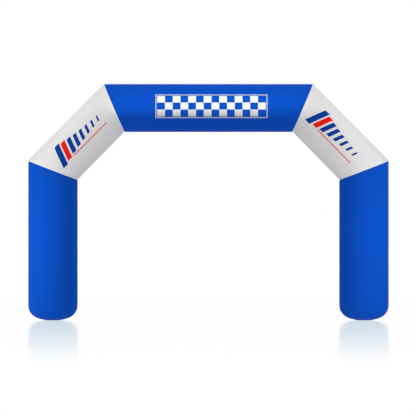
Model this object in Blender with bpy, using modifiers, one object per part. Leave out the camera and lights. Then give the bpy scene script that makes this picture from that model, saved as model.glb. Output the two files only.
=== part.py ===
"""Inflatable arch of sewn cloth tubes, held up by the air inside.

Two upright legs, two sloping sections and a level beam meet at four mitred seams.
Each section is one air-filled solid. A round panel closes the foot of each leg,
and a tape is sewn over each mitre. Metres, +Z up, the origin on the floor at the
middle of the arch, +X across the passage, +Y away from the viewer.
"""

import math
from collections import namedtuple

import bmesh
import bpy
from mathutils import Matrix, Vector

# Outer size of the arch and its passage
ARCH_WIDTH = 6.000
ARCH_HEIGHT = 3.930
PASSAGE_HEIGHT = 3.133

# Diameter of the legs, and depth of the sections above them
LEG_DIAMETER = 0.820
TUBE_DEPTH = 0.800

# Where the mitres start and end, seen from the front
KNEE_OUTER_HEIGHT = 2.658
KNEE_INNER_HEIGHT = 2.342
SHOULDER_OUTER_X = 1.747
SHOULDER_INNER_X = 1.403

# Rounded foot: height of the rounding, its squareness, and where it lies flat
FOOT_RISE = 0.270
FOOT_POWER = 2.6
FOOT_FLAT_RADIUS = 0.110
FOOT_EASE = 0.070
FOOT_SEAM_HEIGHT = 0.121
FOOT_RING_RADII = (0.125, 0.145, 0.165, 0.185, 0.215, 0.255, 0.300, 0.345)
LEG_RING_HEIGHTS = (0.135, 0.155, 0.180, 0.215)

# Gathers where the leg's cloth is eased into the round foot panel
GATHERS = 16
GATHER_DEPTH = 0.004
GATHER_REACH = 0.045

# Cloth drawn in beside a mitred seam, and beside the foot's seam
SEAM_DEPTH = 0.006
SEAM_ROLL = 0.060
FOOT_SEAM_DEPTH = 0.003
FOOT_SEAM_ROLL = 0.025

# Tape over each mitre
TAPE_HALF_WIDTH = 0.008
TAPE_THICKNESS = 0.002
TAPE_CLEARANCE = 0.0005

# Half the gap between two sections, measured along the cloth
HALF_GAP = 0.0002

# Straight edges round each section
SIDES = 64
SHARP_ANGLE = math.radians(40)

BLUE = (0.006, 0.095, 0.600, 1.0)
WHITE = (0.780, 0.780, 0.790, 1.0)
TAPE_WHITE = (0.850, 0.850, 0.860, 1.0)

# Outer and inner point of a seam as x and z, and half its depth along y
Seam = namedtuple("Seam", "outer inner half_depth")

# Ring round a section: a share of its length, a distance added to it, and how
# far the cloth is drawn in towards the middle there
Ring = namedtuple("Ring", "share offset drawn_in")

# Ring of a foot or of a leg's lower end: its height and radius before gathering
Level = namedtuple("Level", "height radius")

KNEE = Seam(
    outer=(ARCH_WIDTH / 2, KNEE_OUTER_HEIGHT),
    inner=(ARCH_WIDTH / 2 - LEG_DIAMETER, KNEE_INNER_HEIGHT),
    half_depth=LEG_DIAMETER / 2,
)
SHOULDER = Seam(
    outer=(SHOULDER_OUTER_X, ARCH_HEIGHT),
    inner=(SHOULDER_INNER_X, PASSAGE_HEIGHT),
    half_depth=TUBE_DEPTH / 2,
)
FOOT_TOP = Seam(
    outer=(ARCH_WIDTH / 2, FOOT_RISE),
    inner=(ARCH_WIDTH / 2 - LEG_DIAMETER, FOOT_RISE),
    half_depth=LEG_DIAMETER / 2,
)


def across(seam):
    """The same seam on the other side of the arch."""
    outer = (-seam.outer[0], seam.outer[1])
    inner = (-seam.inner[0], seam.inner[1])
    return Seam(outer, inner, seam.half_depth)


def seam_point(seam, turn):
    """Point on a seam's ellipse, from its outer point at turn 0."""
    outer = Vector((seam.outer[0], 0, seam.outer[1]))
    inner = Vector((seam.inner[0], 0, seam.inner[1]))
    middle = (outer + inner) / 2
    point = middle + (outer - inner) / 2 * math.cos(turn)
    point.y = -seam.half_depth * math.sin(turn)
    return point


def section_point(first, last, turn, ring):
    """Point of a ring on the surface ruled between two seams, drawn in to its middle."""

    def ruled(angle):
        start = seam_point(first, angle)
        run = seam_point(last, angle) - start
        return start + run * (ring.share + ring.offset / run.length)

    point = ruled(turn)
    middle = (ruled(0) + ruled(math.pi)) / 2
    outward = point - middle
    return point - outward.normalized() * ring.drawn_in


def drawn_in(distance, depth, roll):
    """Depth of the cloth beside a seam: full at the seam, eased out over the roll."""
    return depth * max(0.0, 1 - distance / roll) ** 2


def seam_rings(share, direction):
    """Rings of a section beside a mitre, from the seam into the cloth."""
    distances = (HALF_GAP, TAPE_HALF_WIDTH, SEAM_ROLL / 2, SEAM_ROLL)
    return [
        Ring(share, direction * d, drawn_in(d, SEAM_DEPTH, SEAM_ROLL)) for d in distances
    ]


def tube(sides, rings, capped, place):
    """Tube of straight rings, each point moved to place(turn, ring number)."""
    mesh = bmesh.new()
    bmesh.ops.create_cone(
        mesh,
        cap_ends=capped,
        segments=sides,
        radius1=1,
        radius2=1,
        depth=rings - 1,
    )
    bmesh.ops.translate(mesh, verts=mesh.verts[:], vec=(0, 0, (rings - 1) / 2))
    for level in range(1, rings - 1):
        bmesh.ops.bisect_plane(
            mesh,
            geom=mesh.verts[:] + mesh.edges[:] + mesh.faces[:],
            plane_co=(0, 0, level),
            plane_no=(0, 0, 1),
        )
    for vert in mesh.verts:
        turn = math.atan2(vert.co.y, vert.co.x)
        vert.co = place(turn, round(vert.co.z))
    return mesh


def facing_out(mesh):
    """Turns every face of a tube outwards, if the mapping turned it inside out."""
    middle = sum((v.co for v in mesh.verts), Vector()) / len(mesh.verts)
    outward = sum(f.normal.dot(f.calc_center_median() - middle) for f in mesh.faces)
    if outward < 0:
        bmesh.ops.reverse_faces(mesh, faces=mesh.faces[:])


def finished(name, mesh, material, collection):
    """Object from a mesh, shaded smooth but at its rims."""
    mesh.normal_update()
    facing_out(mesh)
    data = bpy.data.meshes.new(name)
    mesh.to_mesh(data)
    mesh.free()
    data.shade_smooth()
    data.set_sharp_from_angle(angle=SHARP_ANGLE)
    data.materials.append(material)
    piece = bpy.data.objects.new(name, data)
    collection.objects.link(piece)
    return piece


def mirrored(piece, name, collection):
    """The same piece on the left side of the arch."""
    twin = piece.copy()
    twin.name = name
    twin.data = piece.data.copy()
    twin.data.name = name
    twin.data.transform(Matrix.Scale(-1, 4, (1, 0, 0)))
    twin.data.flip_normals()
    collection.objects.link(twin)
    return twin


def section(name, first, last, material, collection):
    """Air-filled section between two mitres."""
    middle = Ring(share=0.5, offset=0.0, drawn_in=0.0)
    rings = seam_rings(0, 1) + [middle] + seam_rings(1, -1)[::-1]

    def place(turn, number):
        return section_point(first, last, turn, rings[number])

    mesh = tube(SIDES, len(rings), True, place)
    return finished(name, mesh, material, collection)


def foot_radius(height):
    """Radius of the rounded foot at a height, on a squarish ellipse."""
    below = max(0.0, 1 - height / FOOT_RISE) ** FOOT_POWER
    return LEG_DIAMETER / 2 * (1 - below) ** (1 / FOOT_POWER)


def foot_height(radius):
    """Height of the rounded foot at a radius, eased down onto its flat middle."""
    along = (2 * radius / LEG_DIAMETER) ** FOOT_POWER
    rounded = FOOT_RISE * (1 - (1 - along) ** (1 / FOOT_POWER))
    share = min(1.0, (radius - FOOT_FLAT_RADIUS) / FOOT_EASE)
    return rounded * share * share * (3 - 2 * share)


def gathered_point(level, turn, drawn):
    """Point of a leg's round lower end, with gathers strongest beside the seam."""
    away = abs(level.height - FOOT_SEAM_HEIGHT) - HALF_GAP
    strength = 4 * away / GATHER_REACH * max(0.0, 1 - away / GATHER_REACH)
    ripple = (1 + math.cos(GATHERS * turn)) / 2
    radius = level.radius - drawn - GATHER_DEPTH * strength * ripple
    leg_x = (ARCH_WIDTH - LEG_DIAMETER) / 2
    return Vector(
        (leg_x + radius * math.cos(turn), -radius * math.sin(turn), level.height)
    )


def foot(name, material, collection):
    """Round foot panel, filled with air, flat where it stands on the floor."""
    levels = [Level(0.0, FOOT_FLAT_RADIUS)]
    levels += [Level(foot_height(radius), radius) for radius in FOOT_RING_RADII]
    top = FOOT_SEAM_HEIGHT - HALF_GAP
    levels.append(Level(top, foot_radius(top)))

    def place(turn, number):
        level = levels[number]
        away = FOOT_SEAM_HEIGHT - level.height
        return gathered_point(level, turn, drawn_in(away, FOOT_SEAM_DEPTH, FOOT_SEAM_ROLL))

    mesh = tube(SIDES, len(levels), True, place)
    return finished(name, mesh, material, collection)


def leg(name, material, collection):
    """Upright leg, rounded in at the foot and mitred at the knee."""
    heights = (FOOT_SEAM_HEIGHT + HALF_GAP,) + LEG_RING_HEIGHTS
    levels = [Level(height, foot_radius(height)) for height in heights]
    rings = [Ring(0, 0, 0), Ring(0.5, 0, 0)] + seam_rings(1, -1)[::-1]

    def place(turn, number):
        if number < len(levels):
            level = levels[number]
            away = level.height - FOOT_SEAM_HEIGHT
            drawn = drawn_in(away, FOOT_SEAM_DEPTH, FOOT_SEAM_ROLL)
            return gathered_point(level, turn, drawn)
        return section_point(FOOT_TOP, KNEE, turn, rings[number - len(levels)])

    mesh = tube(SIDES, len(levels) + len(rings), True, place)
    return finished(name, mesh, material, collection)


def tape(name, below, seam, above, material, collection):
    """Tape over a mitre, lying in the valley between the two sections."""
    edge = drawn_in(TAPE_HALF_WIDTH, SEAM_DEPTH, SEAM_ROLL) - TAPE_CLEARANCE
    spans = (
        (below, seam, Ring(1, -TAPE_HALF_WIDTH, edge)),
        (below, seam, Ring(1, 0, SEAM_DEPTH - TAPE_CLEARANCE)),
        (seam, above, Ring(0, TAPE_HALF_WIDTH, edge)),
    )

    def place(turn, number):
        first, last, ring = spans[number]
        return section_point(first, last, turn, ring)

    mesh = tube(SIDES, len(spans), False, place)
    piece = finished(name, mesh, material, collection)
    wall = piece.modifiers.new("thickness", "SOLIDIFY")
    wall.thickness = TAPE_THICKNESS
    wall.offset = 1
    wall.use_even_offset = True
    return piece


def cloth(name, colour, roughness):
    """Plain cloth material."""
    material = bpy.data.materials.new(name)
    material.use_nodes = True
    shader = material.node_tree.nodes["Principled BSDF"]
    shader.inputs["Base Color"].default_value = colour
    shader.inputs["Roughness"].default_value = roughness
    shader.inputs["Metallic"].default_value = 0.0
    material.diffuse_color = colour
    return material


def build():
    """Makes every piece of the arch."""
    for leftover in list(bpy.data.objects):
        bpy.data.objects.remove(leftover, do_unlink=True)
    arch = bpy.data.collections.new("inflatable_arch")
    bpy.context.scene.collection.children.link(arch)

    blue = cloth("blue_cloth", BLUE, 0.55)
    white = cloth("white_cloth", WHITE, 0.60)
    binding = cloth("white_tape", TAPE_WHITE, 0.70)

    right_side = (
        foot("foot_right", blue, arch),
        leg("leg_right", blue, arch),
        section("slope_right", KNEE, SHOULDER, white, arch),
        tape("knee_tape_right", FOOT_TOP, KNEE, SHOULDER, binding, arch),
        tape("shoulder_tape_right", KNEE, SHOULDER, across(SHOULDER), binding, arch),
    )
    for piece in right_side:
        mirrored(piece, piece.name.replace("right", "left"), arch)
    section("beam", SHOULDER, across(SHOULDER), blue, arch)


build()
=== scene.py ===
"""Looks of an inflatable arch: air-filled cloth tubes, mitred and taped at the bends.

Every cloth is a thin shell worked out from two numbers: the turn round its tube, from
the outer side of the arch at 0, and the place along it. Metres, +Z up, the arch
across X, seen along +Y.
"""

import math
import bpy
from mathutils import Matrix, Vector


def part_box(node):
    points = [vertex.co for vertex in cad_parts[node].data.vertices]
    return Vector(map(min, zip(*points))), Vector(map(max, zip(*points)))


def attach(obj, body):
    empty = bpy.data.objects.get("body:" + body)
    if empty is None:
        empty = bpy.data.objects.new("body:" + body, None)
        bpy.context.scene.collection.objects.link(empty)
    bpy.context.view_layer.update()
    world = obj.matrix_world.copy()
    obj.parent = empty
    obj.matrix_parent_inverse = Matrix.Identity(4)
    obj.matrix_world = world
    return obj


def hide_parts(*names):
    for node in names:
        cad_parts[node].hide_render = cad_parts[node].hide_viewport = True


bl_info = {
    "name": "Inflatable Arch",
    "version": (1, 0, 0),
    "blender": (4, 5, 0),
    "location": "View3D > Sidebar > Arch",
    "description": "Makes the cloth, tapes, stitches and studio of an inflatable arch",
    "category": "Add Mesh",
}

from collections import namedtuple

import bpy
import numpy as np
from mathutils import Vector

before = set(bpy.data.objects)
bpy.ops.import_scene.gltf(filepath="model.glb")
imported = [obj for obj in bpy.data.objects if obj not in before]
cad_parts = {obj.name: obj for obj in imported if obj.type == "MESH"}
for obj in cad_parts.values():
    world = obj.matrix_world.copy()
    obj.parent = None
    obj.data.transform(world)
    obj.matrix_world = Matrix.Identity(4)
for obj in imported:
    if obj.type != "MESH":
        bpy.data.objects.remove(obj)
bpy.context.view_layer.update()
LEG_LOW, LEG_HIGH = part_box("leg_right")
BEAM_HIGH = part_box("beam")[1]

BODY = "root"
UV_NAME = "cloth"
SIDES = (("left", -1), ("right", 1))

# Shape of the cloth beside its seams, as in the solids
FOOT_POWER = 2.6
FOOT_EASE = 0.070
FOOT_SEAM_DEPTH = 0.003
FOOT_SEAM_ROLL = 0.025
GATHER_DEPTH = 0.004
GATHER_REACH = 0.045
SEAM_DEPTH = 0.006
SEAM_ROLL = 0.060
TAPE_HALF_WIDTH = 0.008
TAPE_LIFT = 0.0005
TAPE_THICKNESS = 0.0016
TAPE_EDGE = 0.0008
TAPE_EDGE_DROP = 0.0006
HALF_GAP = 0.0002
CLOTH_THICKNESS = 0.001

# Fine unevenness of the cloth, and the closing seam's ridge
PUCKER_DEPTH = 0.0020
PUCKER_PEAK = 0.035
PUCKER_MEAN = 0.75
PUCKER_SWING = 0.25
WAVE_DEPTH = 0.0010
FELL_HALF_WIDTH = 0.007
FELL_RISE = 0.0010
FELL_FLANK = 0.002

# Stitches, and the distance of each row from its seam
STITCH_PITCH = 0.008
STITCH_SIZE = (0.0056, 0.0011, 0.0008)
STITCH_MARGIN = 0.030
TAPE_ROW = 0.0055
FELL_ROW = 0.0045
FOOT_ROW = 0.006

# Samples by which a closed line is measured, and the step that gives a direction
SAMPLES_ROUND = 1441
SMALL_STEP = 0.001

# Lines round a tube: even ones, and fine ones at these distances from the closing seam
TURNS = 224
BACK = -math.pi / 2
FRONT = math.pi / 2
EVEN_TURNS = BACK + math.tau * np.arange(TURNS) / TURNS
FELL_LINES = np.array((0.0, 0.0030, 0.0058, 0.0072, 0.0090))
FELL_CLEAR = 0.011

# Rings along a tube: distances from a seam and from a plain end, pitch, length of both ends
BESIDE_SEAM = np.array((HALF_GAP, 0.004, 0.008, 0.013, 0.020, 0.029, 0.039, 0.051, 0.064))
SEAM_RINGS = np.concatenate((BESIDE_SEAM, np.linspace(0.080, 0.260, 10)))
PLAIN_RINGS = np.array((0.0, 0.020))
RING_PITCH = 0.045
ENDS_LENGTH = 0.5

# Rings over and under the foot's seam, and on the rest of the leg's end and the foot
LEG_RINGS = np.array((HALF_GAP, 0.003, 0.007, 0.012, 0.018, 0.025, 0.034))
LEG_RING_COUNT = 8
FOOT_RINGS = np.array((0.030, 0.022, 0.015, 0.009, 0.004, HALF_GAP))
FOOT_CENTRE = 0.02
FLAT_RING_COUNT = 5
EASED_RING_COUNT = 11
SIDE_RING_COUNT = 8

# Cloth and thread: gloss, shade between threads, relief, and creases as a multiple of it
CLOTH_SPECULAR = 0.015
ROUGHNESS_SPREAD = 0.04
GAP_SHADE = 0.97
WEAVE_RELIEF = 0.00005
CREASE_HEIGHT = 14.0
THREAD_ROUGHNESS = 0.7
THREAD_SPECULAR = 0.1
TWIST_RELIEF = 0.0001
NOISE_LOW, NOISE_HIGH = 0.3, 0.7

# Prints: shades down the chequered band, and widths of the slanted bars and their line
BAND_FOOT_SHADE = 0.66
BAND_FADE_END = -0.15
BAND_LINE_SHADE = 0.62
FIRST_BAR_SHARE = 0.80
LAST_BAR_SHARE = 0.25
RED_BAR = 1.0
BAR_LINE_PLACE = -0.105
BAR_LINE_HALF_WIDTH = 0.008
BAR_LINE_START = 2

# Strip light: its width and height in metres, and its spread in degrees
Strip = namedtuple("Strip", "width height spread")
SIDE_STRIP = Strip(0.7, 2.8, 100)
TOP_STRIP = Strip(4.2, 0.7, 84)
BEAM_STRIP = Strip(3.2, 0.12, 10)
SLOPE_STRIP = Strip(0.8, 0.8, 60)
SIDE_LIGHT_HEIGHT = 1.15
SIDE_LIGHT_ASIDE = math.radians(24)
TOP_LIGHT_ABOVE = math.radians(10)
BEAM_LIGHT_LIFT = 0.08

# Floor: how far it reaches, how far it lies under the feet, and its reflection
FLOOR_REACH = 120.0
FLOOR_DROP = 0.0005
FLOOR_SIDES = 96
FLOOR_IOR = 1.45
MIRROR_FADE = 1.6

# Outer and inner point of a seam as x and z, and half its depth along y
Seam = namedtuple("Seam", "outer inner half_depth")

# Ripple round a tube: waves in a full turn, share of the depth, phase
Ripple = namedtuple("Ripple", "count share phase")
PUCKERS = (Ripple(29, 0.45, 0.4), Ripple(37, 0.35, 2.1), Ripple(53, 0.20, 4.0))
GATHERS = (Ripple(16, 0.60, 0.0), Ripple(27, 0.25, 1.3), Ripple(41, 0.15, 2.9))

# Broad wave over a tube: waves in a full turn, its length along, phase
Wave = namedtuple("Wave", "count length phase")
WAVES = (Wave(2, 1.10, 0.3), Wave(3, 0.70, 1.7), Wave(5, 0.43, 3.1))


def plain_number(name, description, default, **kind):
    """Setting of a number, with its unit or subtype."""
    return bpy.props.FloatProperty(
        name=name, description=description, default=default, **kind
    )


def metres(name, description, default):
    """Setting of a length."""
    return plain_number(name, description, default, unit="LENGTH")


def degrees(name, description, default):
    """Setting of an angle."""
    return plain_number(name, description, math.radians(default), subtype="ANGLE")


def watts(name, description, default):
    """Setting of a light's power."""
    return plain_number(name, description, default, unit="POWER")


def fraction(name, description, default):
    """Setting of a share."""
    return plain_number(name, description, default, subtype="FACTOR")


def whole_number(name, description, default):
    """Setting of a whole number."""
    return bpy.props.IntProperty(name=name, description=description, default=default)


def rgb(name, description, default):
    """Setting of a colour."""
    return bpy.props.FloatVectorProperty(
        name=name, description=description, default=default, subtype="COLOR"
    )


class ArchSizes(bpy.types.PropertyGroup):
    """Sizes of the arch, in metres."""

    width: metres("Width", "Outer width of the arch", 2 * float(LEG_HIGH[0]))
    height: metres("Height", "Outer height of the arch", float(BEAM_HIGH[2]))
    leg_diameter: metres(
        "Leg diameter", "Diameter of the upright legs", float(LEG_HIGH[1] - LEG_LOW[1])
    )
    tube_depth: metres("Tube depth", "Depth of the sections above the legs", 0.800)
    passage_height: metres("Passage height", "Height under the beam", 3.133)
    knee_outer_height: metres("Knee, outer", "Height of the knee's seam on the outer side", 2.658)
    knee_inner_height: metres("Knee, inner", "Height of the knee's seam on the passage side", 2.342)
    shoulder_outer: metres(
        "Shoulder, outer", "Distance from the middle to the shoulder's seam on top", 1.747
    )
    shoulder_inner: metres(
        "Shoulder, inner", "Distance from the middle to the shoulder's seam underneath", 1.403
    )
    foot_rise: metres("Foot rise", "Height of the rounding at the foot", 0.270)
    foot_flat_radius: metres(
        "Foot contact", "Radius of the patch that lies flat on the floor", 0.110
    )
    foot_seam_height: metres("Foot seam", "Height of the seam between leg and foot panel", 0.121)


class ClothColours(bpy.types.PropertyGroup):
    """Colours of the cloths and prints."""

    blue: rgb("Blue cloth", "Colour of the legs, feet and beam", (0.0036, 0.080, 0.545))
    white: rgb("White cloth", "Colour of the sloping sections", (0.800, 0.800, 0.800))
    tape: rgb("Seam tape", "Colour of the tapes over the mitres", (0.880, 0.890, 0.900))
    blue_thread: rgb("Blue thread", "Colour of the stitches on blue cloth", (0.020, 0.150, 0.680))
    silver: rgb("Band, light", "Light colour of the chequered band", (0.860, 0.865, 0.880))
    print_blue: rgb("Print, blue", "Blue of the slanted bars", (0.004, 0.050, 0.330))
    print_red: rgb("Print, red", "Red of the slanted bars", (0.870, 0.014, 0.014))


class PrintSizes(bpy.types.PropertyGroup):
    """Sizes of the printed chequered band and slanted bars, in metres."""

    band_length: metres("Band length", "Length of the chequered band along the beam", 1.850)
    band_height: metres("Band height", "Height of the chequered band round the beam's front", 0.410)
    band_line: metres("Band line", "Width of the line round the chequered band", 0.018)
    band_gap: metres("Band gap", "Cloth that shows between the line and the squares", 0.012)
    band_centre: metres("Band centre", "Place of the band's middle along the beam", 0.050)
    band_rise: metres("Band rise", "Height of the band's middle over the beam's", 0.016)
    band_columns: whole_number("Band columns", "Squares along the chequered band", 14)
    band_rows: whole_number("Band rows", "Squares up the chequered band", 3)
    bar_count: whole_number("Bars", "Slanted bars on each slope", 8)
    bar_pitch: metres("Bar pitch", "Distance from one slanted bar to the next", 0.128)
    bar_start: metres(
        "Bar start", "Place of the first bar along the slope, from its middle", -0.500
    )
    bar_height: metres("Bar height", "Height of the first bar round the slope", 0.370)
    bar_shrink: fraction("Bar shrink", "Height of each bar, as a share of the one before", 0.82)
    bar_rise: metres("Bar rise", "Place of the bars towards the slope's outer side", 0.050)
    bar_slant: degrees("Bar slant", "Lean of the bars", 20)


class StageSettings(bpy.types.PropertyGroup):
    """Camera, light and floor."""

    lens: plain_number("Lens", "Focal length in millimetres, on a 36 mm sensor", 200.0)
    distance: metres("Distance", "Distance from the camera to the arch", 38.5)
    eye_height: metres("Eye height", "Height of the camera", 1.866)
    eye_across: metres("Eye across", "Place of the camera across the arch", -0.0075)
    sky: plain_number("Sky", "Even light from above the floor", 0.567)
    bounce: plain_number("Bounce", "Even light from the floor", 0.690)
    side_distance: metres("Side distance", "Distance from each leg to its side light", 3.4)
    side_turn_left: degrees(
        "Left light, turn", "Turn of the left side light from the front to the outer side", 38
    )
    side_turn_right: degrees(
        "Right light, turn", "Turn of the right side light from the front to the outer side", 22
    )
    side_power_left: watts("Left light, power", "Power of the left side light in watts", 32.7)
    side_power_right: watts("Right light, power", "Power of the right side light in watts", 25.1)
    top_distance: metres("Top distance", "Distance from the beam to its light", 3.6)
    top_turn: degrees("Top light, turn", "Turn of the beam's light from the front to the top", 55)
    top_power: watts("Top light, power", "Power of the beam's light in watts", 17.3)
    beam_power: watts(
        "Beam light, power", "Power of the narrow light level with the beam in watts", 1.1
    )
    slope_turn: degrees(
        "Slope light, turn", "Turn of each slope's light from the front to the outer side", 60
    )
    slope_power: watts("Slope light, power", "Power of each slope's light in watts", 2.8)
    rear_side_turn: degrees(
        "Rear lights, side turn",
        "Turn of the rear side lights from the back to the outer side",
        28,
    )
    rear_turn: degrees(
        "Rear lights, turn",
        "Turn of the other rear lights from the back to the top or outer side",
        16,
    )
    rear_share: fraction(
        "Rear share", "Power of the rear lights, as a share of the front ones", 1.0
    )
    mirror: fraction("Mirror", "Strength of the floor's reflection beside a foot", 0.50)
    mirror_tint: rgb("Mirror tint", "Tint of the floor's reflection", (1.0, 0.81, 0.88))
    mirror_blur: fraction("Mirror blur", "Roughness of the floor's reflection", 0.12)
    mirror_reach: metres(
        "Mirror reach", "Distance from a foot at which the reflection is gone", 10.7
    )


def seams_of(sizes):
    """Foot top, knee and shoulder seams of the right side, from the sizes."""
    half = sizes.width / 2
    inside = half - sizes.leg_diameter
    leg_depth = sizes.leg_diameter / 2
    foot_top = Seam((half, sizes.foot_rise), (inside, sizes.foot_rise), leg_depth)
    knee = Seam(
        (half, sizes.knee_outer_height), (inside, sizes.knee_inner_height), leg_depth
    )
    shoulder = Seam(
        (sizes.shoulder_outer, sizes.height),
        (sizes.shoulder_inner, sizes.passage_height),
        sizes.tube_depth / 2,
    )
    return foot_top, knee, shoulder


def across(seam):
    """The same seam on the other side of the arch."""
    outer = (-seam.outer[0], seam.outer[1])
    inner = (-seam.inner[0], seam.inner[1])
    return Seam(outer, inner, seam.half_depth)


def seam_ring(seam, turn):
    """Ellipse of a seam: middle + reach * cos(turn) in x and z, -depth * sin(turn) in y."""
    outer = np.array((seam.outer[0], 0.0, seam.outer[1]))
    inner = np.array((seam.inner[0], 0.0, seam.inner[1]))
    points = (outer + inner) / 2 + np.cos(turn)[..., None] * (outer - inner) / 2
    points[..., 1] = -seam.half_depth * np.sin(turn)
    return points


def seam_middle(seam):
    """Point halfway between a seam's outer and inner point."""
    return seam_ring(seam, np.array((0.0, math.pi))).mean(axis=0)


def ruled(first, last, turn, share, offset):
    """Points at start + run * (share + offset / length) on straight lines between two
    seams at equal turns, with the distance from each seam."""
    start = seam_ring(first, turn)
    run = seam_ring(last, turn) - start
    length = np.linalg.norm(run, axis=-1)
    along = share + offset / length
    return start + run * along[..., None], along * length, (1 - along) * length


def drawn_in(distance, depth, roll):
    """Depth beside a seam: depth * (1 - distance / roll) squared, nothing past the roll."""
    return depth * np.clip(1 - distance / roll, 0, None) ** 2


def ripple(turn, ripples):
    """Sum of share * cos(count * turn + phase)."""
    return sum(r.share * np.cos(r.count * turn + r.phase) for r in ripples)


def puckers(turn, distance):
    """Small gathers beside a seam, strongest a little way into the cloth and on the
    passage side, where the mitre presses the cloth together."""
    near = distance / PUCKER_PEAK * np.exp(1 - distance / PUCKER_PEAK)
    side = PUCKER_MEAN - PUCKER_SWING * np.cos(turn)
    return PUCKER_DEPTH * near * side * ripple(turn, PUCKERS)


def waves(turn, distance):
    """Broad, low waves: the mean of cos(count * turn + phase) * sin(place along)."""
    parts = [
        np.cos(w.count * turn + w.phase) * np.sin(math.tau * distance / w.length + w.phase)
        for w in WAVES
    ]
    return WAVE_DEPTH * sum(parts) / len(parts)


def from_back(turn):
    """Turn from the back of the tube, either way round."""
    return np.abs((turn - BACK + math.pi) % math.tau - math.pi)


def fell(turn, radius):
    """Rise of the closing seam down the tube's back, a low flat ridge."""
    away = from_back(turn) * radius
    return FELL_RISE * np.clip((FELL_HALF_WIDTH - away) / FELL_FLANK + 0.5, 0, 1)


def tube_surface(first, last, turn, share, offset, joined=(True, True), lift=0.0):
    """Cloth of a tube: the ruled surface, drawn in to its middle line beside the seams
    that joined names, with puckers, waves and the closing seam, raised by lift."""
    points, from_first, from_last = ruled(first, last, turn, share, offset)
    outer_side = ruled(first, last, np.zeros_like(turn), share, offset)[0]
    inner_side = ruled(first, last, np.full_like(turn, math.pi), share, offset)[0]
    outward = points - (outer_side + inner_side) / 2
    radius = np.linalg.norm(outward, axis=-1)
    rise = lift + fell(turn, radius)
    wave = waves(turn, from_first)
    for distance, is_seam in ((from_first, joined[0]), (from_last, joined[1])):
        wave = wave * (1 - np.exp(-distance / SEAM_ROLL))
        if is_seam:
            rise = rise - drawn_in(distance, SEAM_DEPTH, SEAM_ROLL)
            rise = rise + puckers(turn, distance)
    rise = rise + wave
    return points + outward * (rise / radius)[..., None]


def foot_radius(sizes, height):
    """Radius of the foot's squarish ellipse at a height."""
    below = np.clip(1 - height / sizes.foot_rise, 0, None) ** FOOT_POWER
    return sizes.leg_diameter / 2 * (1 - below) ** (1 / FOOT_POWER)


def foot_height(sizes, radius):
    """Height of the foot at a radius, eased down onto its flat middle."""
    along = np.clip(2 * radius / sizes.leg_diameter, 0, 1) ** FOOT_POWER
    rounded = sizes.foot_rise * (1 - (1 - along) ** (1 / FOOT_POWER))
    share = np.clip((radius - sizes.foot_flat_radius) / FOOT_EASE, 0, 1)
    return rounded * share * share * (3 - 2 * share)


def gathered(sizes, turn, height, radius, ridge=0.0):
    """Ring of a leg's lower end or of its foot panel: radius less the seam's valley and
    the gathers, and with the closing seam's ridge, round the leg's middle."""
    away = np.abs(height - sizes.foot_seam_height)
    strength = 4 * away / GATHER_REACH * np.clip(1 - away / GATHER_REACH, 0, None)
    folds = (1 + ripple(turn, GATHERS)) / 2
    valley = drawn_in(away, FOOT_SEAM_DEPTH, FOOT_SEAM_ROLL)
    radius = radius - valley - GATHER_DEPTH * strength * folds + ridge
    middle = (sizes.width - sizes.leg_diameter) / 2
    x, y = middle + radius * np.cos(turn), -radius * np.sin(turn)
    return np.stack((x, y, height + 0 * turn), axis=-1)


def turns_round(radius):
    """Turns from one edge of the closing seam round to the other, closer together on
    the seam itself."""
    even = BACK + math.tau * (np.arange(TURNS) + 0.5) / TURNS
    even = even[from_back(even) > FELL_CLEAR / radius]
    fine = FELL_LINES / radius
    fine = np.concatenate((-fine[1:], fine))
    return np.sort(np.concatenate((even, BACK + fine % math.tau)))


def places_along(length, joined=(True, True)):
    """Shares and offsets of a tube's rings, closer together beside its seams."""
    start = SEAM_RINGS if joined[0] else PLAIN_RINGS
    end = SEAM_RINGS
    middle = np.linspace(0, 1, max(3, round((length - ENDS_LENGTH) / RING_PITCH)))[1:-1]
    share = np.concatenate((0 * start, middle, 0 * end + 1))
    gap = start[-1] * (1 - middle) - end[-1] * middle
    return share, np.concatenate((start, gap, -end[::-1]))


def metres_round(radius, turn):
    """Metres across the cloth from its front, at each turn and at the first again."""
    return radius * (FRONT - np.append(turn, turn[0] + math.tau))


def grid_faces(around, along):
    """Corner numbers of a grid's faces, wrapped round."""
    one, two = np.meshgrid(np.arange(around), np.arange(along - 1), indexing="ij")
    after = (one + 1) % around
    corners = (
        one * along + two,
        one * along + two + 1,
        after * along + two + 1,
        after * along + two,
    )
    return np.stack(corners, axis=-1).reshape(-1, 4)


def grid_uv(across_m, along_m):
    """Coordinates of the same faces' corners, where the last column is not wrapped."""
    one, two = np.meshgrid(
        np.arange(len(across_m) - 1), np.arange(along_m.shape[-1] - 1), indexing="ij"
    )
    along_m = np.concatenate((along_m, along_m[:1]))
    corners = ((one, two), (one, two + 1), (one + 1, two + 1), (one + 1, two))
    uv = [np.stack((across_m[i], along_m[i, j]), axis=-1) for i, j in corners]
    return np.stack(uv, axis=-2).reshape(-1, 2)


def placed(name, data):
    """Object of that data, put in the scene."""
    item = bpy.data.objects.new(name, data)
    bpy.context.scene.collection.objects.link(item)
    return item


def smooth_piece(name, vertices, faces, coating):
    """Smoothly shaded piece of one named material."""
    mesh = bpy.data.meshes.new(name)
    mesh.from_pydata(vertices, [], faces)
    mesh.shade_smooth()
    mesh.materials.append(material(coating))
    return placed(name, mesh)


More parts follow.
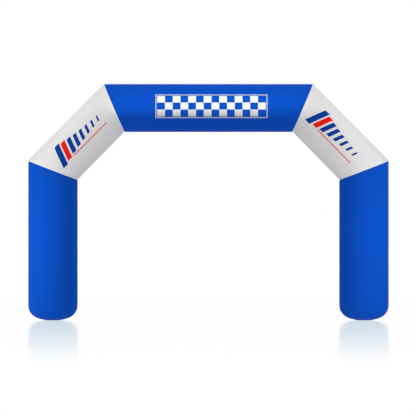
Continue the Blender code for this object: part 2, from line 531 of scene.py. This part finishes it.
def shell(name, points, uv, coating, side, pole=None, thickness=CLOTH_THICKNESS):
    """Cloth object from a closed grid of points, mirrored to the left if side is -1."""
    around, along = points.shape[:2]
    vertices = points.reshape(-1, 3).copy()
    faces = grid_faces(around, along).tolist()
    if pole is not None:
        vertices = np.concatenate((vertices, pole[None]))
        centre = len(vertices) - 1
        faces += [(i * along, (i + 1) % around * along, centre) for i in range(around)]
        ends = uv.reshape(around, along - 1, 4, 2)
        fan_uv = np.stack((ends[:, 0, 0], ends[:, 0, 3], 0 * ends[:, 0, 0]), axis=1)
        uv = np.concatenate((uv, fan_uv.reshape(-1, 2)))
    vertices[:, 0] *= side
    piece = smooth_piece(name, vertices, faces, coating)
    layer = piece.data.uv_layers.new(name=UV_NAME)
    layer.data.foreach_set("uv", uv.astype(np.float32).ravel())
    if side < 0:
        piece.data.flip_normals()
    wall = piece.modifiers.new("thickness", "SOLIDIFY")
    wall.thickness = thickness
    wall.offset = -1
    return piece


def stitches(name, centres, along, outward, coating):
    """Joined stitches: long ellipsoids, each along its own direction."""
    sides, rings = 6, 2
    turn = math.tau * np.arange(sides) / sides
    tilt = (math.pi * (np.arange(rings) + 1) / (rings + 1))[:, None]
    ring = np.broadcast_arrays(
        np.cos(tilt), np.sin(tilt) * np.cos(turn), np.sin(tilt) * np.sin(turn)
    )
    ring = np.stack(ring, axis=-1).reshape(-1, 3)
    shape = np.concatenate((ring, ((1, 0, 0), (-1, 0, 0)))) * np.array(STITCH_SIZE) / 2
    sideways = np.cross(outward, along)
    axes = np.stack((along, sideways, outward), axis=1)
    vertices = centres[:, None, :] + shape @ axes
    quads = [(i, (i + 1) % sides, sides + (i + 1) % sides, sides + i) for i in range(sides)]
    caps = [(2 * sides, (i + 1) % sides, i) for i in range(sides)]
    caps += [(2 * sides + 1, sides + i, sides + (i + 1) % sides) for i in range(sides)]
    step = len(shape) * np.arange(len(centres))[:, None, None]
    quads = (np.array(quads)[None, :, ::-1] + step).reshape(-1, 4)
    caps = (np.array(caps)[None, :, ::-1] + step).reshape(-1, 3)
    faces = quads.tolist() + caps.tolist()
    return smooth_piece(name, vertices.reshape(-1, 3), faces, coating)


def unit(vectors):
    """Vectors of length 1."""
    return vectors / np.linalg.norm(vectors, axis=-1, keepdims=True)


class Nodes:
    """Shader nodes of a material or a world, made a line at a time."""

    def __init__(self, owner):
        owner.use_nodes = True
        self.owner = owner
        self.tree = owner.node_tree

    def add(self, kind, *values):
        """New node, with its first sockets set or linked in their order."""
        node = self.tree.nodes.new(kind)
        for value, socket in zip(values, node.inputs):
            self.put(value, socket)
        return node

    def put(self, value, socket):
        """Links a socket, or sets a plain value, and makes a colour opaque."""
        if isinstance(value, bpy.types.NodeSocket):
            self.tree.links.new(value, socket)
        elif socket.type == "RGBA":
            socket.default_value = (*value, 1.0)
        else:
            socket.default_value = value

    def dress(self, looks):
        """Sets or links the Principled shader's sockets by their names."""
        shader = self.tree.nodes["Principled BSDF"]
        for name, value in looks.items():
            self.put(value, shader.inputs[name])

    def math(self, operation, *values):
        """A Math node's result."""
        node = self.add("ShaderNodeMath", *values)
        node.operation = operation
        return node.outputs[0]

    def between(self, value, low, high):
        """1 where value is over low and under high, and otherwise 0."""
        over = self.math("GREATER_THAN", value, low)
        return self.product(over, self.math("LESS_THAN", value, high))

    def near(self, value, middle, reach):
        """1 where value is within reach of middle, and otherwise 0."""
        away = self.math("ABSOLUTE", self.math("SUBTRACT", value, middle))
        return self.math("LESS_THAN", away, reach)

    def product(self, *values):
        """Product of values, or the place that all masks share."""
        result = values[0]
        for value in values[1:]:
            result = self.math("MULTIPLY", result, value)
        return result

    def mix(self, factor, one, two):
        """Colour from one, at factor 0, to two, at factor 1."""
        node = self.tree.nodes.new("ShaderNodeMix")
        node.data_type = "RGBA"
        self.put(factor, node.inputs[0])
        self.put(one, node.inputs[6])
        self.put(two, node.inputs[7])
        return node.outputs[2]

    def noise(self, scale, detail, low, high):
        """Noise over the piece's own place, spread from low to high."""
        place = self.tree.nodes.new("ShaderNodeTexCoord")
        node = self.add("ShaderNodeTexNoise", place.outputs["Object"])
        node.inputs["Scale"].default_value = scale
        node.inputs["Detail"].default_value = detail
        return self.spread(node.outputs[0], NOISE_LOW, NOISE_HIGH, low, high)

    def spread(self, value, from_low, from_high, low, high):
        """Value carried from one range to another, and held inside it."""
        return self.add("ShaderNodeMapRange", value, from_low, from_high, low, high).outputs[0]

    def cloth_place(self):
        """Metres across and along the cloth, from its own map."""
        node = self.tree.nodes.new("ShaderNodeUVMap")
        node.uv_map = UV_NAME
        parts = self.add("ShaderNodeSeparateXYZ", node.outputs[0])
        return parts.outputs[0], parts.outputs[1]

    def tinted(self, colour, factor):
        """Colour multiplied by a factor."""
        node = self.add("ShaderNodeVectorMath", colour)
        node.operation = "SCALE"
        self.put(factor, node.inputs[3])
        return node.outputs[0]

    def bump(self, height, distance):
        """Raises the surface by height, in units of distance."""
        node = self.tree.nodes.new("ShaderNodeBump")
        node.inputs["Distance"].default_value = distance
        node.inputs["Strength"].default_value = 1.0
        self.put(height, node.inputs["Height"])
        self.dress({"Normal": node.outputs[0]})


def weave(nodes, thread):
    """Plain weave: sin(across) * sin(along), a thread's width to each half wave."""
    wide, tall = nodes.cloth_place()
    warp = nodes.math("SINE", nodes.math("MULTIPLY", wide, math.pi / thread))
    weft = nodes.math("SINE", nodes.math("MULTIPLY", tall, math.pi / thread))
    return nodes.math("MULTIPLY_ADD", nodes.product(warp, weft), 0.5, 0.5)


def woven(name, colour, finish):
    """Coated woven cloth: its threads and creases in the bump, a little unevenness in
    its colour and roughness, and a print where its finish has one."""
    nodes = Nodes(bpy.data.materials.new(name))
    if finish.printed is not None:
        colour = finish.printed(nodes, colour)
    threads = weave(nodes, finish.thread)
    patches = nodes.noise(scale=1.3, detail=3.0, low=0.985, high=1.010)
    specks = nodes.noise(scale=60.0, detail=2.0, low=0.985, high=1.0)
    tint = nodes.product(patches, specks, nodes.spread(threads, 0.0, 1.0, GAP_SHADE, 1.0))
    smoothest = finish.roughness - ROUGHNESS_SPREAD
    roughest = finish.roughness + ROUGHNESS_SPREAD
    looks = {
        "Base Color": nodes.tinted(colour, tint),
        "Roughness": nodes.noise(scale=9.0, detail=2.0, low=smoothest, high=roughest),
        "Specular IOR Level": CLOTH_SPECULAR,
    }
    nodes.dress(looks)
    creases = nodes.noise(scale=5.0, detail=4.0, low=0.0, high=CREASE_HEIGHT)
    nodes.bump(nodes.math("ADD", threads, creases), WEAVE_RELIEF)
    return nodes.owner


def chequered_band(nodes, cloth):
    """Chequered band on the beam's front: light squares that turn grey downwards,
    inside a narrow grey line."""
    sizes = bpy.context.scene.arch_prints
    silver = bpy.context.scene.arch_colours.silver
    wide, tall = nodes.cloth_place()
    up = nodes.math("SUBTRACT", wide, sizes.band_rise)
    along = nodes.math("SUBTRACT", tall, sizes.band_centre)
    half_height = sizes.band_height / 2
    half_length = sizes.band_length / 2

    def panel(inset):
        """The band's rectangle, less an inset on every side."""
        high = nodes.near(up, 0.0, half_height - inset)
        return nodes.product(high, nodes.near(along, 0.0, half_length - inset))

    border = sizes.band_line + sizes.band_gap
    column = 2 * (half_length - border) / sizes.band_columns
    row = 2 * (half_height - border) / sizes.band_rows
    place = nodes.math("DIVIDE", nodes.math("ADD", along, half_length - border), column)
    level = nodes.math("DIVIDE", nodes.math("ADD", up, half_height - border), row)
    number = nodes.math("ADD", nodes.math("FLOOR", place), nodes.math("FLOOR", level))
    even = nodes.math("LESS_THAN", nodes.math("PINGPONG", number, 1.0), 0.5)
    squares = nodes.product(even, panel(border))
    line = nodes.math("SUBTRACT", panel(0.0), panel(sizes.band_line))
    fade_end = BAND_FADE_END * half_height
    shade = nodes.spread(up, -half_height, fade_end, BAND_FOOT_SHADE, 1.0)
    printed = nodes.mix(squares, cloth, nodes.tinted(silver, shade))
    return nodes.mix(line, printed, nodes.tinted(silver, BAND_LINE_SHADE))


def slanted_bars(nodes, cloth):
    """Row of slanted bars that shrink along the slope, one of them red, over a thin
    red line."""
    sizes = bpy.context.scene.arch_prints
    colours = bpy.context.scene.arch_colours
    wide, tall = nodes.cloth_place()
    up = nodes.math("SUBTRACT", wide, sizes.bar_rise)
    lean = nodes.math("MULTIPLY", up, -math.tan(sizes.bar_slant))
    along = nodes.math("ADD", nodes.math("SUBTRACT", tall, sizes.bar_start), lean)
    place = nodes.math("DIVIDE", along, sizes.bar_pitch)
    number = nodes.math("FLOOR", place)
    rest = nodes.math("SUBTRACT", place, number)
    last = sizes.bar_count - 1
    width = nodes.spread(number, 0, last, FIRST_BAR_SHARE, LAST_BAR_SHARE)
    shrink = nodes.math("POWER", sizes.bar_shrink, number)
    reach = nodes.math("MULTIPLY", sizes.bar_height / 2, shrink)
    bars = nodes.product(
        nodes.math("LESS_THAN", rest, width),
        nodes.math("LESS_THAN", nodes.math("ABSOLUTE", up), reach),
        nodes.between(number, -0.5, last + 0.5),
    )
    line_start = sizes.bar_pitch * BAR_LINE_START
    line = nodes.product(
        nodes.near(wide, BAR_LINE_PLACE, BAR_LINE_HALF_WIDTH),
        nodes.between(along, line_start, sizes.bar_pitch * sizes.bar_count),
    )
    red_bar = nodes.near(number, RED_BAR, 0.5)
    bar_colour = nodes.mix(red_bar, colours.print_blue, colours.print_red)
    printed = nodes.mix(bars, cloth, bar_colour)
    return nodes.mix(line, printed, colours.print_red)


def sewing_thread(name, colour):
    """Matt sewing thread, with its twist in the bump."""
    nodes = Nodes(bpy.data.materials.new(name))
    tint = nodes.noise(scale=400.0, detail=2.0, low=0.90, high=1.0)
    looks = {
        "Base Color": nodes.tinted(colour, tint),
        "Roughness": THREAD_ROUGHNESS,
        "Specular IOR Level": THREAD_SPECULAR,
    }
    nodes.dress(looks)
    nodes.bump(nodes.noise(scale=900.0, detail=1.0, low=0.0, high=1.0), TWIST_RELIEF)
    return nodes.owner


# Cloth's finish: name of its colour, roughness, width of a thread in its weave, print
Finish = namedtuple("Finish", "colour roughness thread printed")
FINISHES = {
    "blue_woven": Finish("blue", 0.62, 0.0012, None),
    "blue_woven_band": Finish("blue", 0.62, 0.0012, chequered_band),
    "white_woven_bars": Finish("white", 0.66, 0.0012, slanted_bars),
    "tape_woven": Finish("tape", 0.72, 0.0009, None),
}
THREAD_COLOURS = {"blue_thread": "blue_thread", "white_thread": "white"}


def material(name):
    """The arch's material of that name, made the first time."""
    if name in bpy.data.materials:
        return bpy.data.materials[name]
    colours = bpy.context.scene.arch_colours
    if name in FINISHES:
        finish = FINISHES[name]
        return woven(name, getattr(colours, finish.colour), finish)
    return sewing_thread(name, getattr(colours, THREAD_COLOURS[name]))


def stands_for(piece, slot, *nodes):
    """Rides on the arch in place of its solids; slot is not used."""
    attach(piece, BODY)
    if nodes:
        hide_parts(*nodes)


def tube_cloth(name, first, last, side, coating, along_of):
    """Cloth of one section between two mitres, and its flat size."""
    radius = (first.half_depth + last.half_depth) / 2
    turn = turns_round(radius)
    lengths = ruled(first, last, turn, np.zeros_like(turn), np.zeros_like(turn))[2]
    share, offset = places_along(lengths.min())
    grid_turn, grid_share = np.meshgrid(turn, share, indexing="ij")
    grid_offset = np.broadcast_to(offset, grid_turn.shape)
    points = tube_surface(first, last, grid_turn, grid_share, grid_offset)
    uv = grid_uv(metres_round(radius, turn), along_of(points))
    piece = shell(name, points, uv, coating, side)
    width = math.tau * radius
    return piece, (width, float(lengths.max())), width * float(lengths.mean())


class ARCH_OT_slopes(bpy.types.Operator):
    """Make the white sloping sections"""

    bl_idname = "arch.slopes"
    bl_label = "Slopes"

    def execute(self, context):
        knee, shoulder = seams_of(context.scene.arch_sizes)[1:]
        low, high = seam_middle(knee), seam_middle(shoulder)
        axis = unit(high - low)
        for word, side in SIDES:

            def reading(points, side=side):
                """Metres along the slope, from left to right for the viewer."""
                return -side * ((points - (low + high) / 2) @ axis)

            piece, flat, area = tube_cloth(
                f"slope_cloth_{word}", knee, shoulder, side, "white_woven_bars", reading
            )
            stands_for(piece, "white_cloth", f"slope_{word}")
        return {"FINISHED"}


class ARCH_OT_beam(bpy.types.Operator):
    """Make the level blue beam"""

    bl_idname = "arch.beam"
    bl_label = "Beam"

    def execute(self, context):
        first = seams_of(context.scene.arch_sizes)[2]

        def reading(points):
            """Metres along the beam, from left to right."""
            return points[..., 0]

        piece, flat, area = tube_cloth(
            "beam_cloth", first, across(first), 1, "blue_woven_band", reading
        )
        stands_for(piece, "blue_cloth", "beam")
        return {"FINISHED"}


class ARCH_OT_legs(bpy.types.Operator):
    """Make the upright legs, gathered in at the foot"""

    bl_idname = "arch.legs"
    bl_label = "Legs"

    def execute(self, context):
        sizes = context.scene.arch_sizes
        foot_top, knee = seams_of(sizes)[:2]
        radius = sizes.leg_diameter / 2
        turn = turns_round(radius)
        seam = sizes.foot_seam_height
        rest = np.linspace(seam + GATHER_REACH, sizes.foot_rise, LEG_RING_COUNT)
        heights = np.concatenate((seam + LEG_RINGS, rest))
        ring_turn, ring_height = np.meshgrid(turn, heights, indexing="ij")
        rounding = foot_radius(sizes, ring_height)
        ridge = fell(ring_turn, rounding)
        lower = gathered(sizes, ring_turn, ring_height, rounding, ridge)
        joined = (False, True)
        share, offset = places_along(sizes.knee_inner_height - sizes.foot_rise, joined)
        grid_turn, grid_share = np.meshgrid(turn, share[1:], indexing="ij")
        grid_offset = np.broadcast_to(offset[1:], grid_turn.shape)
        upper = tube_surface(foot_top, knee, grid_turn, grid_share, grid_offset, joined)
        points = np.concatenate((lower, upper), axis=1)
        uv = grid_uv(metres_round(radius, turn), points[..., 2])
        for word, side in SIDES:
            piece = shell(f"leg_cloth_{word}", points, uv, "blue_woven", side)
            stands_for(piece, "blue_cloth", f"leg_{word}")
        return {"FINISHED"}


class ARCH_OT_feet(bpy.types.Operator):
    """Make the round foot panels"""

    bl_idname = "arch.feet"
    bl_label = "Feet"

    def execute(self, context):
        sizes = context.scene.arch_sizes
        width = sizes.leg_diameter
        flat_radius = sizes.foot_flat_radius
        flat_part = np.linspace(FOOT_CENTRE, flat_radius, FLAT_RING_COUNT)
        eased = np.linspace(flat_radius, flat_radius + FOOT_EASE, EASED_RING_COUNT)
        heights = sizes.foot_seam_height - FOOT_RINGS
        top = foot_radius(sizes, heights)
        side_part = np.linspace(eased[-1], top[0], SIDE_RING_COUNT)[1:-1]
        radii = np.concatenate((flat_part, eased[1:], side_part))
        heights = np.concatenate((foot_height(sizes, radii), heights))
        radii = np.concatenate((radii, top))
        ring_turn, ring_radius = np.meshgrid(EVEN_TURNS, radii, indexing="ij")
        ring_height = np.broadcast_to(heights, ring_turn.shape)
        points = gathered(sizes, ring_turn, ring_height, ring_radius)
        middle = (sizes.width - width) / 2
        pole = np.array((middle, 0.0, 0.0))
        seen = np.stack((points[..., 0] - middle, points[..., 1]), axis=-1)
        seen = seen.reshape(-1, 2)[grid_faces(*points.shape[:2])]
        uv = seen.reshape(-1, 2)
        for word, side in SIDES:
            piece = shell(f"foot_cloth_{word}", points, uv, "blue_woven", side, pole)
            stands_for(piece, "blue_cloth", f"foot_{word}")
        return {"FINISHED"}


def tape_points(seams, turn, from_seam, lift):
    """Points over the middle one of three seams, at a distance from it that is negative
    towards the first one."""
    below, seam, above = seams
    under, over = np.minimum(from_seam, 0), np.maximum(from_seam, 0)
    lower = tube_surface(below, seam, turn, np.ones_like(turn), under, lift=lift)
    upper = tube_surface(seam, above, turn, np.zeros_like(turn), over, lift=lift)
    return np.where((from_seam > 0)[..., None], upper, lower)


def evenly_round(line, pitch):
    """Turns at an even pitch along a closed line, which gives points for turns."""
    turn = np.linspace(0, math.tau, SAMPLES_ROUND)
    steps = np.linalg.norm(np.diff(line(turn), axis=0), axis=-1)
    length = np.concatenate(((0,), np.cumsum(steps)))
    count = round(length[-1] / pitch)
    return np.interp(np.arange(count) * length[-1] / count, length, turn)


def directions(surface, turn, place):
    """Directions round, along and out of a surface, as differences over two small
    steps, where surface gives points for turns and places."""
    step = SMALL_STEP
    round_tube = unit(surface(turn + step, place) - surface(turn - step, place))
    along_tube = unit(surface(turn, place + step) - surface(turn, place - step))
    return round_tube, along_tube, unit(np.cross(along_tube, round_tube))


def row_round(surface, place):
    """Middles, directions and outward normals of a row of stitches round a tube."""
    turn = evenly_round(lambda t: surface(t, np.full_like(t, place)), STITCH_PITCH)
    level = np.full_like(turn, place)
    round_tube, _, outward = directions(surface, turn, level)
    return surface(turn, level), round_tube, outward


def row_along(surface, turn, places):
    """The same for a row along a tube, at one turn."""
    turns = np.full_like(places, turn)
    _, along_tube, outward = directions(surface, turns, places)
    return surface(turns, places), along_tube, outward


def sew(name, rows, side, colour, slot):
    """Stitches along the rows, on the side of the arch that is asked for."""
    sign = np.array((side, 1, 1))
    middle, along, outward = [np.concatenate(part) * sign for part in zip(*rows)]
    stands_for(stitches(name, middle, along, outward, f"{colour}_thread"), slot)


class ARCH_OT_tapes(bpy.types.Operator):
    """Make the tapes over the mitres, with a row of stitches along each edge"""

    bl_idname = "arch.tapes"
    bl_label = "Seam tapes"

    def execute(self, context):
        foot_top, knee, shoulder = seams_of(context.scene.arch_sizes)
        places = {
            "knee": (foot_top, knee, shoulder),
            "shoulder": (knee, shoulder, across(shoulder)),
        }
        turn = EVEN_TURNS
        half = TAPE_HALF_WIDTH
        inner = half - TAPE_EDGE
        from_seam = np.array((-half, -inner, -half / 2, 0, half / 2, inner, half))
        ring_turn, ring_from = np.meshgrid(turn, from_seam, indexing="ij")
        top = TAPE_LIFT + TAPE_THICKNESS
        lift = top - TAPE_EDGE_DROP * (np.abs(from_seam) == half)
        for place, seams in places.items():
            points = tape_points(seams, ring_turn, ring_from, lift)
            uv = grid_uv(metres_round(seams[1].half_depth, turn), ring_from)
            line = tape_points(seams, turn, 0 * turn, TAPE_LIFT)

            def surface(turns, level, seams=seams):
                """Top of the tape."""
                return tape_points(seams, turns, level, top)

            rows = [row_round(surface, -TAPE_ROW), row_round(surface, TAPE_ROW)]
            for word, side in SIDES:
                name = f"{place}_tape_{word}"
                piece = shell(
                    f"{name}_cloth", points, uv, "tape_woven", side, thickness=TAPE_THICKNESS
                )
                stands_for(piece, "white_tape", name)
                sew(f"{name}_stitches", rows, side, "white", "white_tape")
        return {"FINISHED"}


class ARCH_OT_stitching(bpy.types.Operator):
    """Make the stitches of the closing seams and of the feet"""

    bl_idname = "arch.stitching"
    bl_label = "Stitching"

    def execute(self, context):
        sizes = context.scene.arch_sizes
        foot_top, knee, shoulder = seams_of(sizes)
        sections = (
            ("leg", foot_top, knee, (False, True), "blue"),
            ("slope", knee, shoulder, (True, True), "white"),
            ("beam", shoulder, across(shoulder), (True, True), "blue"),
        )

        def over_foot_seam(turns, level):
            """Leg's cloth at a level over the foot's seam."""
            height = sizes.foot_seam_height + level
            radius = foot_radius(sizes, height)
            return gathered(sizes, turns, height, radius, fell(turns, radius))

        rounding = sizes.foot_rise - sizes.foot_seam_height
        for word, first, last, joined, colour in sections:

            def on_tube(turns, offset, ends=(first, last), joined=joined):
                """Cloth at a distance from the section's first seam."""
                return tube_surface(*ends, turns, np.zeros_like(turns), offset, joined)

            rows = []
            for beside in (-FELL_ROW, FELL_ROW):
                turn = BACK + beside / first.half_depth
                length = float(ruled(first, last, np.array(turn), 0.0, 0.0)[2])
                start = STITCH_MARGIN if joined[0] else 0.0
                place = np.arange(start, length - STITCH_MARGIN, STITCH_PITCH)
                rows.append(row_along(on_tube, turn, place))
                if not joined[0]:
                    level = np.arange(2 * FOOT_ROW, rounding, STITCH_PITCH)
                    rows.append(row_along(over_foot_seam, turn, level))
            sides = (("", 1),) if word == "beam" else (("_left", -1), ("_right", 1))
            for ending, side in sides:
                sew(f"{word}_stitches{ending}", rows, side, colour, f"{colour}_cloth")
        rows = [row_round(over_foot_seam, FOOT_ROW)]
        for word, side in SIDES:
            sew(f"foot_stitches_{word}", rows, side, "blue", "blue_cloth")
        return {"FINISHED"}


def strip_light(name, place, axis, strip, power):
    """Soft strip light that faces along an axis, seen only by what it lights."""
    data = bpy.data.lights.new(name, "AREA")
    data.shape = "RECTANGLE"
    data.size = strip.width
    data.size_y = strip.height
    data.spread = math.radians(strip.spread)
    data.energy = power
    lamp = placed(name, data)
    lamp.location = place
    lamp.rotation_euler = Vector(axis).to_track_quat("-Z", "Y").to_euler()
    lamp.visible_camera = False
    lamp.visible_glossy = False


def side_light(name, settings, leg_x, side, front, turned, power):
    """Upright strip beside a leg, turned out from the front or the back, and aimed aside
    from the leg so that it stays off the other one."""
    reach = settings.side_distance
    place_x = side * (leg_x + reach * math.sin(turned))
    place = (place_x, -front * reach * math.cos(turned), SIDE_LIGHT_HEIGHT)
    aim = turned - SIDE_LIGHT_ASIDE
    axis = (-side * math.sin(aim), front * math.cos(aim), 0)
    strip_light(name, place, axis, SIDE_STRIP, power)


def top_light(name, settings, beam_z, front, turned, power):
    """Level strip along the beam, turned up from the front or the back, and aimed a
    little over the beam so that it stays off the legs."""
    reach = settings.top_distance
    place = (0, -front * reach * math.cos(turned), beam_z + reach * math.sin(turned))
    aim = turned - TOP_LIGHT_ABOVE
    axis = (0, front * math.cos(aim), -math.sin(aim))
    strip_light(name, place, axis, TOP_STRIP, power)


def beam_light(name, settings, beam_z, front, power):
    """Narrow strip level with the beam, held by a grid to a band round its middle."""
    reach = settings.top_distance
    axis = (0, front * reach, BEAM_LIGHT_LIFT)
    strip_light(name, (0, -front * reach, beam_z), axis, BEAM_STRIP, power)


def slope_light(name, settings, middle, side, front, turned, power):
    """Small light square on to a slope, turned out from the front or the back."""
    out = math.sin(turned) * math.sqrt(0.5)
    away = np.array((side * out, -front * math.cos(turned), out))
    place = np.array((side * middle[0], 0.0, middle[2])) + settings.top_distance * away
    strip_light(name, place.tolist(), (-away).tolist(), SLOPE_STRIP, power)


def studio_world(strength):
    """White to the eye and in reflections, and softer as a light."""
    world = bpy.data.worlds.new("studio")
    bpy.context.scene.world = world
    nodes = Nodes(world)
    background = nodes.tree.nodes["Background"]
    path = nodes.add("ShaderNodeLightPath").outputs
    seen = nodes.math("MAXIMUM", path["Is Camera Ray"], path["Is Glossy Ray"])
    level = nodes.spread(seen, 0.0, 1.0, strength, 1.0)
    nodes.put(level, background.inputs["Strength"])
    nodes.put((1, 1, 1), background.inputs["Color"])
    world.cycles.sampling_method = "NONE"


def floor_material(name, settings, foot_x):
    """White floor with a faint reflection, which fades with the distance from the
    nearer foot."""
    nodes = Nodes(bpy.data.materials.new(name))
    tree = nodes.tree
    tree.nodes.remove(tree.nodes["Principled BSDF"])
    place = nodes.add("ShaderNodeTexCoord")
    x, y, _ = nodes.add("ShaderNodeSeparateXYZ", place.outputs["Object"]).outputs
    beside = nodes.math("SUBTRACT", nodes.math("ABSOLUTE", x), foot_x)
    square = nodes.math("MULTIPLY_ADD", y, y, nodes.product(beside, beside))
    away = nodes.math("DIVIDE", nodes.math("SQRT", square), settings.mirror_reach)
    faded = nodes.math("SUBTRACT", 1.0, nodes.math("POWER", away, MIRROR_FADE))
    faded = nodes.math("MAXIMUM", faded, 0.0)
    gleam = nodes.add("ShaderNodeFresnel", FLOOR_IOR).outputs[0]
    camera_ray = nodes.add("ShaderNodeLightPath").outputs["Is Camera Ray"]
    share = nodes.product(gleam, settings.mirror, faded, camera_ray)
    mirrored = nodes.tinted(settings.mirror_tint, share)
    kept = nodes.add("ShaderNodeVectorMath", (1, 1, 1), mirrored)
    kept.operation = "SUBTRACT"
    strength = nodes.spread(camera_ray, 0.0, 1.0, settings.bounce, 1.0)
    glow = nodes.add("ShaderNodeEmission", kept.outputs[0], strength)
    gloss = nodes.add("ShaderNodeBsdfGlossy", mirrored, settings.mirror_blur)
    both = nodes.add("ShaderNodeAddShader", glow.outputs[0], gloss.outputs[0])
    nodes.put(both.outputs[0], tree.nodes["Material Output"].inputs[0])
    nodes.owner.cycles.emission_sampling = "NONE"
    return nodes.owner


class ARCH_OT_stage(bpy.types.Operator):
    """Make the floor, the lights and the camera"""

    bl_idname = "arch.stage"
    bl_label = "Stage"

    def execute(self, context):
        scene = context.scene
        settings = scene.arch_stage
        sizes = scene.arch_sizes
        foot_x = (sizes.width - sizes.leg_diameter) / 2
        turn = math.tau * np.arange(FLOOR_SIDES) / FLOOR_SIDES
        rim = np.stack((np.cos(turn), np.sin(turn), 0 * turn), axis=-1) * FLOOR_REACH
        rim[:, 2] = -FLOOR_DROP
        mesh = bpy.data.meshes.new("studio_floor")
        mesh.from_pydata(rim, [], [list(range(FLOOR_SIDES))])
        mesh.materials.append(floor_material("studio_floor", settings, foot_x))
        placed("studio_floor", mesh)

        studio_world(settings.sky)
        for word, side in SIDES:
            turned = getattr(settings, f"side_turn_{word}")
            power = getattr(settings, f"side_power_{word}")
            side_light(f"light_{word}", settings, foot_x, side, 1, turned, power)
            turned = settings.rear_side_turn
            power *= settings.rear_share
            side_light(f"rear_light_{word}", settings, foot_x, side, -1, turned, power)
        knee, shoulder = seams_of(sizes)[1:]
        middle = (seam_middle(knee) + seam_middle(shoulder)) / 2
        beam_z = (sizes.height + sizes.passage_height) / 2
        for word, front, top_turn, slope_turn, share in (
            ("", 1, settings.top_turn, settings.slope_turn, 1.0),
            ("rear_", -1, settings.rear_turn, settings.rear_turn, settings.rear_share),
        ):
            power = settings.top_power * share
            top_light(f"{word}light_top", settings, beam_z, front, top_turn, power)
            power = settings.beam_power * share
            beam_light(f"{word}light_beam", settings, beam_z, front, power)
            power = settings.slope_power * share
            for name, side in SIDES:
                name = f"{word}light_slope_{name}"
                slope_light(name, settings, middle, side, front, slope_turn, power)

        lens = bpy.data.cameras.new("camera")
        lens.lens = settings.lens
        lens.sensor_width = 36.0
        lens.clip_start = 1.0
        lens.clip_end = 400.0
        scene.camera = placed("camera", lens)
        scene.camera.location = (settings.eye_across, -settings.distance, settings.eye_height)
        scene.camera.rotation_euler = (math.pi / 2, 0, 0)
        scene.view_settings.view_transform = "Standard"
        return {"FINISHED"}


class ARCH_PT_panel(bpy.types.Panel):
    """Sidebar panel that lists the arch's pieces"""

    bl_idname = "ARCH_PT_panel"
    bl_label = "Inflatable Arch"
    bl_space_type = "VIEW_3D"
    bl_region_type = "UI"
    bl_category = "Arch"

    def draw(self, context):
        for operator in OPERATORS:
            self.layout.operator(operator.bl_idname)
        for group in POINTERS:
            settings = getattr(context.scene, group)
            for name in settings.bl_rna.properties.keys():
                if name not in ("rna_type", "name"):
                    self.layout.prop(settings, name)


OPERATORS = (
    ARCH_OT_stage,
    ARCH_OT_legs,
    ARCH_OT_feet,
    ARCH_OT_slopes,
    ARCH_OT_beam,
    ARCH_OT_tapes,
    ARCH_OT_stitching,
)
POINTERS = {
    "arch_sizes": ArchSizes,
    "arch_colours": ClothColours,
    "arch_prints": PrintSizes,
    "arch_stage": StageSettings,
}


def register():
    """Registers the classes and hangs the settings on the scene."""
    for group in (*POINTERS.values(), *OPERATORS, ARCH_PT_panel):
        bpy.utils.register_class(group)
    for name, group in POINTERS.items():
        setattr(bpy.types.Scene, name, bpy.props.PointerProperty(type=group))


def unregister():
    """Removes the settings and the classes."""
    for name in POINTERS:
        delattr(bpy.types.Scene, name)
    for group in (ARCH_PT_panel, *reversed(OPERATORS), *POINTERS.values()):
        bpy.utils.unregister_class(group)


def main():
    """Makes every piece."""
    register()
    bpy.ops.arch.stage()
    bpy.ops.arch.legs()
    bpy.ops.arch.feet()
    bpy.ops.arch.slopes()
    bpy.ops.arch.beam()
    bpy.ops.arch.tapes()
    bpy.ops.arch.stitching()


if __name__ == "__main__":
    main()
